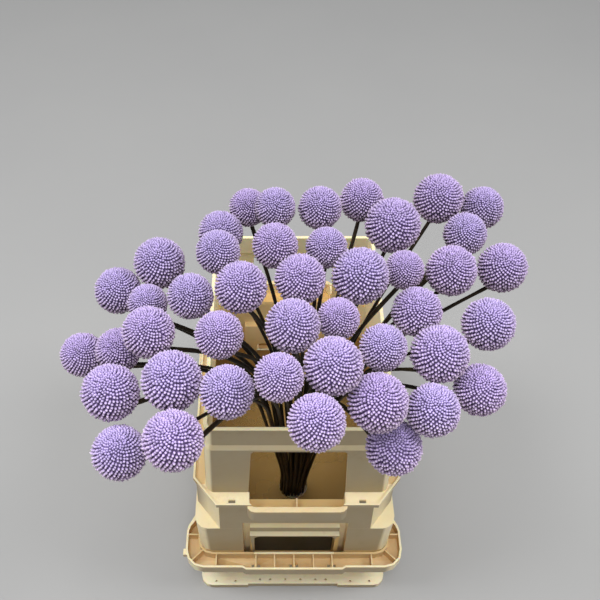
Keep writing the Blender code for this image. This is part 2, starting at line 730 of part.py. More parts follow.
def build_stem(bloom, collection):
    curve = bpy.data.curves.new("stem", "CURVE")
    curve.dimensions = "3D"
    curve.bevel_depth = STEM_RADIUS
    curve.bevel_resolution = 0
    curve.use_fill_caps = True
    points = stem_points(bloom)
    spline = curve.splines.new("POLY")
    spline.points.add(len(points) - 1)
    for target, point in zip(spline.points, points):
        target.co = (*point, 1)
    return mesh_from_curve(mesh_object("stem", curve, collection), collection)


def build_stems(blooms, collection):
    bundle = bundle_solid("stems", 0, 0, collection)
    combine(bundle, [build_stem(bloom, collection) for bloom in blooms], "UNION", "MANIFOLD")
    bundle.data.materials.clear()
    return bundle


def main():
    clear_scene()
    collection = new_collection("craspedia_bunch_in_holder")
    plastic = new_material("cream_plastic", (0.74, 0.66, 0.47), 0.45)
    tray_plastic = new_material("tray_plastic", (0.78, 0.68, 0.48), 0.45)
    water_look = new_material("water", (0.62, 0.50, 0.30), 0.05, alpha=0.4)
    stem_look = new_material("dark_stem", (0.035, 0.030, 0.012), 0.55)
    bloom_look = new_material("lilac_floret", (0.46, 0.36, 0.72), 0.8)

    build_tray(collection).data.materials.append(tray_plastic)
    build_collar(collection).data.materials.append(plastic)
    build_water(collection).data.materials.append(water_look)
    blooms = place_blooms()
    build_stems(blooms, collection).data.materials.append(stem_look)
    for bloom in blooms:
        build_bloom(bloom, collection).data.materials.append(bloom_look)


main()
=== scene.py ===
"""Looks for a craspedia bunch that stands in a two-part flower holder."""

import math

import bmesh
import bpy
import numpy as np
from mathutils import Matrix, Vector
from mathutils.bvhtree import BVHTree


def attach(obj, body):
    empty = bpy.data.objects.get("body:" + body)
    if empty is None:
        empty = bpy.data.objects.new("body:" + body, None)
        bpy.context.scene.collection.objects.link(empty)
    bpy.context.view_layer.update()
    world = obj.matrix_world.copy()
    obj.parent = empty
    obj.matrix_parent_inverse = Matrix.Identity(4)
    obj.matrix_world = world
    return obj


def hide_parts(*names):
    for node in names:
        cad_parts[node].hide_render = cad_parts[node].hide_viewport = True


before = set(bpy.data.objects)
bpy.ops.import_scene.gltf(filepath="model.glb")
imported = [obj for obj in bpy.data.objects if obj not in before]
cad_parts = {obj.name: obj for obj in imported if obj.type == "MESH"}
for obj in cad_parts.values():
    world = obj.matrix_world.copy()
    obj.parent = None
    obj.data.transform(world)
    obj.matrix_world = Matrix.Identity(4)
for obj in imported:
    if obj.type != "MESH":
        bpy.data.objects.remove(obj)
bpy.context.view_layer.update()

MM = 0.001
GOLDEN_ANGLE = math.pi * (3 - math.sqrt(5))

# The bunch, by the same rule as its solids
WAIST = Vector((0, -70 * MM, 120 * MM))
DOME_RADIUS = 485 * MM
COLLAR_TOP = 345 * MM
MOUTH_SPREAD = 0.24
MOUTH_SLANT = 0.12
MOUTH_Y = -102 * MM
BUNDLE_X = 3 * MM
BUNDLE_SPREAD = (17 * MM, 11 * MM)
BUNCH_MIDDLE_Y = -110 * MM
BUNCH_REACH = 0.42

# The bundle: height, middle and share of its width from the cut ends up, and the stems' room
BUNDLE_LEVELS = [(5.5 * MM, -40 * MM, 0.97), (30 * MM, -46 * MM, 0.97), (60 * MM, -54 * MM, 0.98),
                 (85 * MM, -61 * MM, 0.99), (108 * MM, -68 * MM, 1.0)]
BUNDLE_RADIUS = 19.5 * MM
BUNDLE_SPACING = 2.5
BUNDLE_ROUNDS = 300

# Stems: their section, their bends, and how deep they end in the head as shares of its radius
STEM_RADIUS = 1.8 * MM
STEM_SIDES = 8
STEM_THICKNESS = (0.88, 1.12)
STEM_UNEVENNESS = 0.05
STEM_SEED = 7
STEM_BEND = 60 * MM
STEM_STEPS = (6, 16)
STEM_RISE = 0.7
STEM_ARRIVAL = 0.06
STEM_NECK = 4 * MM
STEM_SEAT = 0.76
STEM_END = 0.60

# Heads: the fit to their solids, and how far one leans, at the waist and over the dome's radius
TIP_SHARE = 0.92
FIT_ROUNDS = 4
LEAN_SIDEWAYS = (-0.05, 0.10)
LEAN_FORWARD = (0.20, 0.45)
HEAD_SEED = 100

# Florets: their number and places, the ball under them, and their form and lean
FLORETS = 620
COVERED_ANGLE = 166
POLE_DENSITY = 0.38
POLE_SINE = 0.15
STEEP = 0.9
FLORET_SCATTER = 0.075
FLORET_CORE = 0.85
FLORET_SIDES = 5
FLORET_PROFILE = [(0.83, 0.80), (0.925, 1.0), (0.970, 0.70)]
FLORET_LEAN = 0.08

# Young florets lie round the pole: they are wider for their spacing, and more even in length
YOUNG_SHARE = 0.45
WIDTH_SHARES = (0.76, 0.28)
WIDTH_RANGE = (0.88, 1.08)
LENGTH_SCATTER = 0.016
LENGTH_OFFSET = 0.012
YOUNG_EVENNESS = 0.7

# Holder: its edges, its level bends, and the rays that find its recesses
WELD_DISTANCE = 0.02 * MM
FLAT_ANGLE = 2
BEVELLED_ANGLE = 40
SHARP_ANGLE = 38
BEVEL_STEPS = 2
COLLAR_EDGE = 0.7 * MM
TRAY_EDGE = 0.6 * MM
LEVEL_DIFFERENCE = 0.1 * MM
BEND_ANGLES = (8, 25)
LONG_BEND = 20 * MM
RECESS_RAYS = 32
RECESS_SAMPLES = 6
FACES_UP = 0.5

# Painted shade and light on upward faces: bottom, top and what their recess is multiplied by,
# painted light below zero
SHADE_AND_LIGHT_LEVELS = [(0, 15 * MM, -1), (108 * MM, 132 * MM, -1), (196 * MM, 212 * MM, 1.4)]

# Plastic: its colours for painted light where it faces up, painted shade on its walls and amber
# painted shade in its recesses, and its surface
COLLAR_COLOURS = ((0.95, 0.82, 0.54), (0.44, 0.355, 0.215), (0.68, 0.45, 0.17))
TRAY_COLOURS = ((0.95, 0.82, 0.54), (0.44, 0.35, 0.21), (0.62, 0.42, 0.18))
# Colour of painted light on the foot, the pocket's ledges and the top of the collar's inner walls
PAINTED_LIGHT_TONE = (1.0, 0.91, 0.68)
PLASTIC_ROUGHNESS = (0.34, 0.52)
PLASTIC_SURFACE = {"Subsurface Weight": 0.35, "Subsurface Radius": (1.0, 0.55, 0.22),
                   "Subsurface Scale": 5 * MM, "IOR": 1.49}
PLASTIC_GRAIN = (900, 2)
PLASTIC_BUMP = (0.06, 0.2 * MM)

# Plastic: noise, the limits between which it shows, its share and its tint
CLOUDS, CLOUD_LIMITS, CLOUD_TINT = (14, 5, 0.6), (0.35, 0.75), (0.94, 0.90, 0.83)
SPECKS, SPECK_LIMITS, SPECK_TINT = (60, 6, 0.7), (0.58, 0.80), (0.6, 0.55, 0.48)
SPECK_SHARE = 0.35

# Plastic: limits between which a face's direction, place or recess begins to count for its painted
# light and shade
UPWARD = (0.12, 0.5)
SLANTED = (0.2, 0.7)
CORNER_SLANT = 0.5
CORNER_X = (78 * MM, 90 * MM)
INWARD = (-20 * MM, -5 * MM)
RECESS_LIT_LIMITS = (0.25, 0.4)
RECESS_SHADE_LIMITS = (0.55, 0.85)
PAINTED_LIGHT_RECESS = (-0.45, -0.15)
SHADE_FREE_INNER_Z = (80 * MM, 150 * MM)
SHADE_FREE_INNER_SHARE = 0.95
LIT_INNER_Z = (230 * MM, 310 * MM)

# Darker zones: limits in X and Y without their signs, limits in Z, and how far they darken
DARK_ZONE_EASE = 1 * MM
FROM_MIDDLE = -10 * MM
FLANGE_Z = (216 * MM, 223.5 * MM)

# Collar: painted shade on strips of the flange beside its lip, and the handle's edge made darker
COLLAR_DARK_ZONES = [((106 * MM, 125 * MM), (FROM_MIDDLE, 140 * MM), FLANGE_Z, 0.7),
                 ((FROM_MIDDLE, 60 * MM), (166 * MM, 176 * MM), FLANGE_Z, 0.3)]

# Tray: painted shade on the top of its inner wall but for the middle of its short sides, and on its
# ribs' tops
TRAY_DARK_ZONES = [((51 * MM, 128 * MM), (FROM_MIDDLE, 168 * MM), (50 * MM, 90 * MM), 0.8),
               (None, None, (69 * MM, 71.9 * MM), 0.6)]

# Florets: colours from their foot to their tip, young and old, darkest at the foot as painted shade
# in the gaps, then how age and place tint them
YOUNG_COLOURS = [(0.0, (0.17, 0.11, 0.28)), (0.45, (0.32, 0.245, 0.49)),
                 (0.8, (0.435, 0.345, 0.62)), (1.0, (0.53, 0.44, 0.70))]
OLD_COLOURS = [(0.0, (0.03, 0.012, 0.03)), (0.45, (0.17, 0.105, 0.20)),
               (0.78, (0.46, 0.35, 0.56)), (1.0, (0.94, 0.82, 0.86))]
OLD_AGES = (0.16, 0.74)
# Old florets on each head's underside darken, partly their own browner colour and partly painted
# shade, more on heads further back
WORN_SHADE_AGES = (0.5, 0.92)
BACK_SHADE_Y = (-280 * MM, 20 * MM)
BACK_SHADE_SHARES = (0.35, 1)
WORN_SHADE_TINT = (0.42, 0.34, 0.28)
# Heads towards the front are made brighter: painted light
FRONT_LIGHT_Y = (-280 * MM, -90 * MM)
FRONT_LIGHT_VALUES = (1.2, 1)
CHANCE_VALUES = (0.82, 1.18)
HEAD_HUES = (0.494, 0.507)
FLORET_SURFACE = {"Roughness": 0.72, "Sheen Weight": 0.15, "Sheen Roughness": 0.4}
FLORET_GRAIN = (1600, 2)
FLORET_BUMP = (0.25, 0.15 * MM)

# Stems: streaks along with patches of tone
STEM_STREAKS = (220, 4)
STEM_PATCHES = (22, 3)
STEM_COLOURS = [(0.30, (0.008, 0.004, 0.002)), (0.55, (0.030, 0.018, 0.007)),
                (0.8, (0.12, 0.085, 0.028))]
STEM_SURFACE = {"Roughness": 0.6, "Specular IOR Level": 0.25}
STEM_BUMP = (0.4, 0.3 * MM)

# Water: two tones of its middle, and painted shade before the holder's two ends
WATER_CLOUDS = (18, 3)
WATER_COLOURS = ((0.42, 0.25, 0.06), (0.52, 0.34, 0.11))
WATER_ROUGHNESS = (0.02, 0.06)
WATER_SURFACE = {"Alpha": 0.55, "IOR": 1.333}
SHADED_ENDS_Y = (85 * MM, 120 * MM)
ENDS_SHADE_SHARE = 0.92
ENDS_SHADE_COLOUR = (0.025, 0.018, 0.011)

# Floor
FLOOR_REACH = 4
FLOOR_DROP = 0.5 * MM
FLOOR_CLOUDS = (3, 4)
FLOOR_COLOURS = ((0.36, 0.36, 0.36), (0.39, 0.39, 0.385))
FLOOR_SURFACE = {"Roughness": 0.7}

# Lights: place, target, size and power
LIGHTS = {"ceiling": ((-0.2, -0.55, 4.2), (0, -0.15, 0.3), 2.4, 104),
          "front": ((0.0, -2.6, 3.4), (0, -0.15, 0.3), 1.8, 44),
          "left_side": ((-2.2, 0.0, 2.6), (0, -0.1, 0.3), 1.2, 42),
          "right_side": ((2.2, 0.0, 2.6), (0, -0.1, 0.3), 1.2, 40)}
STUDIO_COLOUR = (0.95, 0.97, 1.0, 1)
STUDIO_STRENGTH = 0.10

# Camera: pitch in degrees, lens and sensor in millimetres, shift in pixels of the picture's width
CAMERA_PLACE = (-34 * MM, -535 * MM, 1024 * MM)
CAMERA_PITCH = 50
CAMERA_LENS = 45
SENSOR_WIDTH = 36
SHIFT_PIXELS = 32.5
PICTURE_WIDTH = 600

# Sockets of the colour mixing node
MIX_FIRST, MIX_SECOND, MIX_RESULT = 6, 7, 2


class Paint:
    """A new material, with short ways to add nodes to it and to join them."""

    def __init__(self, name):
        self.material = bpy.data.materials.new(name)
        self.material.use_nodes = True
        self.tree = self.material.node_tree
        self.shader = self.tree.nodes["Principled BSDF"]
        coordinates = self.add("ShaderNodeTexCoord")
        self.place = coordinates.outputs["Object"]
        self.normal = coordinates.outputs["Normal"]

    def add(self, kind, **values):
        node = self.tree.nodes.new(kind)
        for key, value in values.items():
            setattr(node, key, value)
        return node

    def surface(self, linked, plain):
        """Join outputs that vary over the surface to the shader, and set its other values."""
        for name, source in linked.items():
            self.tree.links.new(source, self.shader.inputs[name])
        for name, value in plain.items():
            self.shader.inputs[name].default_value = value

    def axes(self, vector):
        """X, Y and Z of a vector."""
        node = self.add("ShaderNodeSeparateXYZ")
        self.tree.links.new(vector, node.inputs["Vector"])
        return tuple(node.outputs)

    def compute(self, operation, *sources):
        node = self.add("ShaderNodeMath", operation=operation)
        for source, socket in zip(sources, node.inputs):
            self.tree.links.new(source, socket)
        return node.outputs["Value"]

    def absolute(self, source):
        return self.compute("ABSOLUTE", source)

    def product(self, *sources):
        result = sources[0]
        for source in sources[1:]:
            result = self.compute("MULTIPLY", result, source)
        return result

    def highest(self, *sources):
        result = sources[0]
        for source in sources[1:]:
            result = self.compute("MAXIMUM", result, source)
        return result

    def mapped(self, source, results, limits=(0, 1)):
        """The first result up to the lower limit, the second from the upper one."""
        node = self.add("ShaderNodeMapRange")
        self.tree.links.new(source, node.inputs["Value"])
        node.inputs["From Min"].default_value, node.inputs["From Max"].default_value = limits
        node.inputs["To Min"].default_value, node.inputs["To Max"].default_value = results
        return node.outputs["Result"]

    def mixed(self, factor, first, second, blend="MIX"):
        """Blend of two colours, each an output or a plain colour."""
        node = self.add("ShaderNodeMix", data_type="RGBA", blend_type=blend)
        self.tree.links.new(factor, node.inputs["Factor"])
        for colour, socket in ((first, MIX_FIRST), (second, MIX_SECOND)):
            if isinstance(colour, bpy.types.NodeSocket):
                self.tree.links.new(colour, node.inputs[socket])
            else:
                node.inputs[socket].default_value = (*colour, 1)
        return node.outputs[MIX_RESULT]

    def ramp(self, source, stops):
        node = self.add("ShaderNodeValToRGB")
        elements = node.color_ramp.elements
        for element, (position, colour) in zip(elements, (stops[0], stops[-1])):
            element.position = position
            element.color = (*colour, 1)
        for position, colour in stops[1:-1]:
            elements.new(position).color = (*colour, 1)
        self.tree.links.new(source, node.inputs["Fac"])
        return node.outputs["Color"]

    def noise(self, scale, detail, roughness=0.5):
        node = self.add("ShaderNodeTexNoise")
        node.inputs["Scale"].default_value = scale
        node.inputs["Detail"].default_value = detail
        node.inputs["Roughness"].default_value = roughness
        self.tree.links.new(self.place, node.inputs["Vector"])
        return node.outputs["Fac"]

    def bump(self, height, strength, distance):
        node = self.add("ShaderNodeBump")
        node.inputs["Strength"].default_value = strength
        node.inputs["Distance"].default_value = distance
        self.tree.links.new(height, node.inputs["Height"])
        self.tree.links.new(node.outputs["Normal"], self.shader.inputs["Normal"])


# Used to give painted light to the holder's cut corners
def facing_corner(paint):
    """1 on a wall that faces a corner of the holder and stands near one, 0 on other walls."""
    across, along, _ = paint.axes(paint.normal)
    slant = paint.mapped(paint.absolute(paint.product(across, along)), (0, 1), (0, CORNER_SLANT))
    near = paint.mapped(paint.absolute(paint.axes(paint.place)[0]), (0, 1), CORNER_X)
    return paint.product(paint.mapped(slant, (0, 1), SLANTED), near)


def facing_inward(paint):
    """1 on a wall that faces the middle of the holder, 0 on one that faces away from it."""
    node = paint.add("ShaderNodeVectorMath", operation="DOT_PRODUCT")
    paint.tree.links.new(paint.place, node.inputs[0])
    paint.tree.links.new(paint.normal, node.inputs[1])
    return paint.mapped(node.outputs["Value"], (1, 0), INWARD)


def zone_darkening(paint, dark_zones):
    """How much darker a place is made, by the zones that it lies in."""
    across, along, level = paint.axes(paint.place)
    measures = (paint.absolute(across), paint.absolute(along), level)
    shares = []
    for *zone, share in dark_zones:
        inside = []
        for measure, limits in zip(measures, zone):
            if limits:
                low, high = limits
                inside.append(paint.mapped(measure, (0, 1), (low, low + DARK_ZONE_EASE)))
                inside.append(paint.mapped(measure, (1, 0), (high - DARK_ZONE_EASE, high)))
        shares.append(paint.mapped(paint.product(*inside), (0, share)))
    return paint.highest(*shares)


def plastic_material(name, colours, dark_zones):
    """Cream plastic: painted light where it faces up, painted shade on its walls and amber painted
    shade in its recesses.
    """
    lit_tone, wall_shade_tone, deep = colours
    paint = Paint(name)
    clouds = paint.noise(*CLOUDS)
    specks = paint.noise(*SPECKS)
    recess = paint.add("ShaderNodeAttribute", attribute_name="recess").outputs["Fac"]
    level = paint.axes(paint.place)[2]
    # Painted light and shade: faces that turn up, walls facing a corner and part-recessed faces
    # take the lit tone, other walls the painted shade tone
    upward = paint.mapped(paint.axes(paint.normal)[2], (0, 1), UPWARD)
    recess_lit = paint.mapped(recess, (0, 1), RECESS_LIT_LIMITS)
    painted_lit = paint.highest(upward, facing_corner(paint), recess_lit)
    base = paint.mixed(painted_lit, wall_shade_tone, lit_tone)
    # Amber painted shade where rays found a recess, kept off the inner walls between the listed
    # levels
    inward = facing_inward(paint)
    shade_free_inner = paint.product(inward, paint.mapped(level, (0, SHADE_FREE_INNER_SHARE), SHADE_FREE_INNER_Z))
    recess_shade = paint.product(paint.mapped(recess, (0, 1), RECESS_SHADE_LIMITS), paint.mapped(shade_free_inner, (1, 0)))
    base = paint.mixed(paint.highest(recess_shade, zone_darkening(paint, dark_zones)), base, deep)
    # Painted light: the top of the inner walls, and upward faces whose recess was turned below
    # zero, take a pale tone
    lit_inner_top = paint.product(inward, paint.mapped(level, (0, 1), LIT_INNER_Z))
    lit_ledges_and_foot = paint.mapped(recess, (1, 0), PAINTED_LIGHT_RECESS)
    base = paint.mixed(paint.highest(lit_inner_top, lit_ledges_and_foot), base, PAINTED_LIGHT_TONE)
    base = paint.mixed(paint.mapped(clouds, (0, 1), CLOUD_LIMITS), base, CLOUD_TINT, "MULTIPLY")
    base = paint.mixed(paint.mapped(specks, (0, SPECK_SHARE), SPECK_LIMITS), base, SPECK_TINT,
                       "MULTIPLY")
    roughness = paint.mapped(clouds, PLASTIC_ROUGHNESS)
    paint.surface({"Base Color": base, "Roughness": roughness}, PLASTIC_SURFACE)
    paint.bump(paint.noise(*PLASTIC_GRAIN), *PLASTIC_BUMP)
    return paint.material


def floret_material():
    """Dyed florets: dark at their foot as painted shade between them, lilac along them and pale at
    their tips.
    """
    paint = Paint("lilac_floret")
    source = paint.add("ShaderNodeAttribute", attribute_name="floret")
    parts = paint.add("ShaderNodeSeparateColor")
    paint.tree.links.new(source.outputs["Color"], parts.inputs["Color"])
    height, chance, age = parts.outputs
    along = paint.axes(paint.place)[1]
    colour = paint.mixed(paint.mapped(age, (0, 1), OLD_AGES), paint.ramp(height, YOUNG_COLOURS),
                         paint.ramp(height, OLD_COLOURS))
    # Darker undersides: old florets' own browning plus painted shade, stronger on heads further
    # back
    worn_and_shaded = paint.product(paint.mapped(age, (0, 1), WORN_SHADE_AGES),
                         paint.mapped(along, BACK_SHADE_SHARES, BACK_SHADE_Y))
    tone = paint.add("ShaderNodeHueSaturation")
    # Random tone per floret, and painted light that brightens heads towards the front
    value = paint.product(paint.mapped(chance, CHANCE_VALUES),
                          paint.mapped(along, FRONT_LIGHT_VALUES, FRONT_LIGHT_Y))
    hue = paint.mapped(source.outputs["Alpha"], HEAD_HUES)
    for name, output in (("Color", paint.mixed(worn_and_shaded, colour, WORN_SHADE_TINT, "MULTIPLY")),
                         ("Value", value), ("Hue", hue)):
        paint.tree.links.new(output, tone.inputs[name])
    paint.surface({"Base Color": tone.outputs["Color"]}, FLORET_SURFACE)
    paint.bump(paint.noise(*FLORET_GRAIN), *FLORET_BUMP)
    return paint.material


def stem_material():
    """Dark stems with fine streaks."""
    paint = Paint("dark_stem")
    streaks = paint.noise(*STEM_STREAKS)
    patches = paint.noise(*STEM_PATCHES)
    blend = paint.compute("ADD", paint.mapped(streaks, (0, 0.5)), paint.mapped(patches, (0, 0.5)))
    paint.surface({"Base Color": paint.ramp(blend, STEM_COLOURS)}, STEM_SURFACE)
    paint.bump(streaks, *STEM_BUMP)
    return paint.material


def water_material():
    """Brownish standing water, darker towards the holder's two ends as painted shade under their
    walls.
    """
    paint = Paint("still_water")
    clouds = paint.noise(*WATER_CLOUDS)
    ends = paint.absolute(paint.axes(paint.place)[1])
    tone = paint.mixed(paint.mapped(ends, (0, ENDS_SHADE_SHARE), SHADED_ENDS_Y),
                       paint.mixed(clouds, *WATER_COLOURS), ENDS_SHADE_COLOUR)
    roughness = paint.mapped(clouds, WATER_ROUGHNESS)
    paint.surface({"Base Color": tone, "Roughness": roughness}, WATER_SURFACE)
    return paint.material


def floor_material():
    paint = Paint("pale_floor")
    paint.surface({"Base Color": paint.mixed(paint.noise(*FLOOR_CLOUDS), *FLOOR_COLOURS)},
                  FLOOR_SURFACE)
    return paint.material


def add_piece(name, mesh, material):
    mesh.materials.append(material)
    piece = bpy.data.objects.new(name, mesh)
    bpy.context.scene.collection.objects.link(piece)
    return piece


def mesh_from_arrays(name, points, groups):
    """Mesh of points and arrays of faces, each array with faces of one size."""
    mesh = bpy.data.meshes.new(name)
    sizes = np.concatenate([np.full(len(group), group.shape[1]) for group in groups])
    corners = np.concatenate([group.ravel() for group in groups])
    mesh.vertices.add(len(points))
    mesh.vertices.foreach_set("co", points.astype("f").ravel())
    mesh.loops.add(len(corners))
    mesh.loops.foreach_set("vertex_index", corners.astype("i"))
    mesh.polygons.add(len(sizes))
    mesh.polygons.foreach_set("loop_start", (np.cumsum(sizes) - sizes).astype("i"))
    mesh.polygons.foreach_set("use_smooth", np.ones(len(sizes), dtype=bool))
    mesh.update(calc_edges=True)
    return mesh


class Head:
    """Centre, radius and axis of one head, fitted to the tips of its solid."""

    def __init__(self, node):
        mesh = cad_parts[node].data
        points = np.empty(3 * len(mesh.vertices))
        mesh.vertices.foreach_get("co", points)
        points = np.unique(points.reshape(-1, 3).round(6), axis=0)
        self.node = node
        self.centre = Vector((points.min(axis=0) + points.max(axis=0)) / 2)
        for _ in range(FIT_ROUNDS):
            offset = points - np.array(self.centre)
            reach = np.linalg.norm(offset, axis=1)
            tips = offset[reach > TIP_SHARE * reach.max()]
            system = np.c_[2 * tips, np.ones(len(tips))]
            fit = np.linalg.lstsq(system, (tips ** 2).sum(axis=1), rcond=None)[0]
            self.radius = math.sqrt(fit[3] + fit[:3] @ fit[:3])
            self.centre += Vector(fit[:3])

    @property
    def axis(self):
        """Way that the head faces: up, and towards the front the further back it stands."""
        sideways = LEAN_SIDEWAYS[0] + LEAN_SIDEWAYS[1] * self.centre.x / DOME_RADIUS
        forward = LEAN_FORWARD[0] + LEAN_FORWARD[1] * (self.centre.y - WAIST.y) / DOME_RADIUS
        return Vector((sideways, -forward, 1)).normalized()


def floret_places(random):
    """Each floret's share of the way from the pole, its spacing and its direction.

    The florets follow each other by the golden angle and stand closer round the pole.
    """
    share = (np.arange(FLORETS) + 0.5) / FLORETS
    reach = POLE_DENSITY * share + (1 - POLE_DENSITY) * share ** 2
    density = POLE_DENSITY + 2 * (1 - POLE_DENSITY) * share
    cap = 1 - math.cos(math.radians(COVERED_ANGLE))
    spacing = np.sqrt(2 * math.pi * cap * density / FLORETS)
    cosine = 1 - cap * reach
    sine = np.sqrt(1 - cosine ** 2)
    scatter = random.normal(0, FLORET_SCATTER, FLORETS) * spacing
    turn = np.arange(FLORETS) * GOLDEN_ANGLE + scatter / np.maximum(sine, POLE_SINE)
    scatter = random.normal(0, FLORET_SCATTER, FLORETS) * spacing
    cosine = np.clip(cosine + scatter * sine, -1, 1)
    sine = np.sqrt(1 - cosine ** 2)
    return share, spacing, np.stack([sine * np.cos(turn), sine * np.sin(turn), cosine], axis=1)


def directions_across(outward):
    """Two directions at right angles to each floret and to each other."""
    helper = np.where(np.abs(outward[:, 2:]) < STEEP, [[0, 0, 1.0]], [[1.0, 0, 0]])
    first = np.cross(helper, outward)
    first /= np.linalg.norm(first, axis=1, keepdims=True)
    return first, np.cross(outward, first)


def floret_points(random):
    """Points of all florets on a ball of radius 1, each point's height, and each floret's share."""
    share, spacing, outward = floret_places(random)
    first, second = directions_across(outward)
    young = np.clip(1 - share / YOUNG_SHARE, 0, 1)
    width = 0.5 * spacing * (WIDTH_SHARES[0] + WIDTH_SHARES[1] * young)
    width *= random.uniform(*WIDTH_RANGE, FLORETS)
    longer = random.normal(0, LENGTH_SCATTER, FLORETS) * (1 - YOUNG_EVENNESS * young)
    longer -= LENGTH_OFFSET
    lean = random.normal(0, FLORET_LEAN, (FLORETS, 2)) * spacing[:, None]
    spin = random.uniform(0, 2 * math.pi, FLORETS)
    rings, heights = [], []
    lowest = FLORET_PROFILE[0][0]
    for radius, part in FLORET_PROFILE:
        height = (radius - lowest) / (1 - lowest)
        for side in range(FLORET_SIDES):
            angle = spin + 2 * math.pi * side / FLORET_SIDES
            rings.append(outward * (radius + longer * height)[:, None]
                         + first * (np.cos(angle) * width * part + lean[:, 0] * height)[:, None]
                         + second * (np.sin(angle) * width * part + lean[:, 1] * height)[:, None])
            heights.append(np.full(FLORETS, height))
    rings.append(outward * (1 + longer)[:, None] + first * lean[:, :1] + second * lean[:, 1:])
    heights.append(np.ones(FLORETS))
    return np.stack(rings, axis=1), np.stack(heights, axis=1), share


def floret_faces():
    """Walls and tips of all florets, as places of their points."""
    sides, levels = FLORET_SIDES, len(FLORET_PROFILE)
    around = [(side, (side + 1) % sides) for side in range(sides)]
    walls = np.array([(level * sides + a, level * sides + b,
                       (level + 1) * sides + b, (level + 1) * sides + a)
                      for level in range(levels - 1) for a, b in around])
    last = (levels - 1) * sides
    tips = np.array([(last + a, last + b, levels * sides) for a, b in around])
    start = np.arange(FLORETS)[:, None, None] * (levels * sides + 1)
    return (walls + start).reshape(-1, 4), (tips + start).reshape(-1, 3)


def head_core():
    """Points and faces of the ball under the florets."""
    form = bmesh.new()
    bmesh.ops.create_icosphere(form, subdivisions=2, radius=FLORET_CORE)
    points = np.array([vert.co[:] for vert in form.verts])
    faces = np.array([[vert.index for vert in face.verts] for face in form.faces])
    form.free()
    return points, faces


def head_piece(head, seed, material):
    """Core covered with finger-like florets."""
    random = np.random.default_rng(seed)
    florets, heights, share = floret_points(random)
    size = florets.shape[1]
    used = FLORETS * size
    core, core_faces = head_core()
    points = np.concatenate([florets.reshape(-1, 3), core]) * head.radius
    spun = Matrix.Rotation(random.uniform(0, 2 * math.pi), 3, "Z")
    turned = np.array(head.axis.to_track_quat("Z", "Y").to_matrix() @ spun)
    points = points @ turned.T + np.array(head.centre)
    mesh = mesh_from_arrays(head.node + "_florets", points, [*floret_faces(), core_faces + used])

    # The ball's points keep a height of 0 and so the darkest foot colour: painted shade under the
    # florets
    # Red is the height along a floret, green its own chance, blue its age and alpha the head's
    colours = np.zeros((len(points), 4), dtype="f")
    colours[:used, 0] = heights.ravel()
    colours[:used, 1] = np.repeat(random.uniform(0, 1, FLORETS), size)
    colours[:used, 2] = np.repeat(share, size)
    colours[:, 3] = random.uniform(0, 1)
    attribute = mesh.attributes.new("floret", "FLOAT_COLOR", "POINT")
    attribute.data.foreach_set("color", colours.ravel())
    piece = add_piece(mesh.name, mesh, material)
    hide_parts(head.node)
    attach(piece, "root")


def bezier(a, b, c, d, steps):
    """Points on a curve from a to d, without its first one."""
    points = []
    for step in range(1, steps + 1):
        t = step / steps
        points.append(a * (1 - t) ** 3 + b * 3 * t * (1 - t) ** 2 + c * 3 * t ** 2 * (1 - t)
                      + d * t ** 3)
    return points


def bundle_places(heads):
    """Places of the stems in the bundle's section: on their heads' side, pushed apart to fit."""
    places = []
    for head in heads:
        reach = head.centre - WAIST
        share = Vector((reach.x, reach.y - BUNCH_MIDDLE_Y)) / (BUNCH_REACH * DOME_RADIUS)
        places.append(Vector((BUNDLE_SPREAD[0] * share.x, BUNDLE_SPREAD[1] * share.y)))
    room = BUNDLE_SPACING * STEM_RADIUS
    for _ in range(BUNDLE_ROUNDS):
        for i, one in enumerate(places):
            for other in places[i + 1:]:
                apart = one - other
                short = room - apart.length
                if short <= 0:
                    continue
                push = Vector((short, 0))
                if apart.length > 0:
                    push = apart.normalized() * 0.5 * short
                one += push
                other -= push
        for place in places:
            if place.length > BUNDLE_RADIUS - STEM_RADIUS:
                place *= (BUNDLE_RADIUS - STEM_RADIUS) / place.length
    return places


def stem_route(head, place):
    """Points from the stem's cut end in the water, through the collar's mouth, to its head."""
    points = []
    for height, middle, share in BUNDLE_LEVELS:
        points.append(Vector((BUNDLE_X + share * place.x, middle + share * place.y, height)))
    below, top = points[-2:]
    reach = head.centre - WAIST
    mouth = Vector((BUNDLE_X + MOUTH_SPREAD * reach.x, MOUTH_Y + MOUTH_SLANT * reach.y, COLLAR_TOP))
    neck = head.centre - head.axis * (head.radius * STEM_SEAT + STEM_NECK)
    lean = (top - below).normalized() * STEM_BEND
    along = (mouth - top).normalized()
    rise = (neck - mouth).length
    points += bezier(top, top + lean, mouth - along * STEM_BEND, mouth, STEM_STEPS[0])
    points += bezier(mouth, mouth + along * STEM_RISE * rise,
                     neck - head.axis * STEM_ARRIVAL * rise, neck, STEM_STEPS[1])
    return points + [head.centre - head.axis * head.radius * STEM_END]


def tube(points, radii, sides):
    """Points, walls and ends of a round tube along a route."""
    rings = []
    side = Vector((1, 0, 0))
    for i, point in enumerate(points):
        ahead = points[min(i + 1, len(points) - 1)] - points[max(i - 1, 0)]
        ahead.normalize()
        side = (side - ahead * side.dot(ahead)).normalized()
        other = ahead.cross(side)
        for k in range(sides):
            angle = 2 * math.pi * k / sides
            rings.append(point + (side * math.cos(angle) + other * math.sin(angle)) * radii[i])
    walls = [(i * sides + k, i * sides + (k + 1) % sides,
              (i + 1) * sides + (k + 1) % sides, (i + 1) * sides + k)
             for i in range(len(points) - 1) for k in range(sides)]
    last = (len(points) - 1) * sides
    return rings, walls, [tuple(reversed(range(sides))), tuple(range(last, last + sides))]


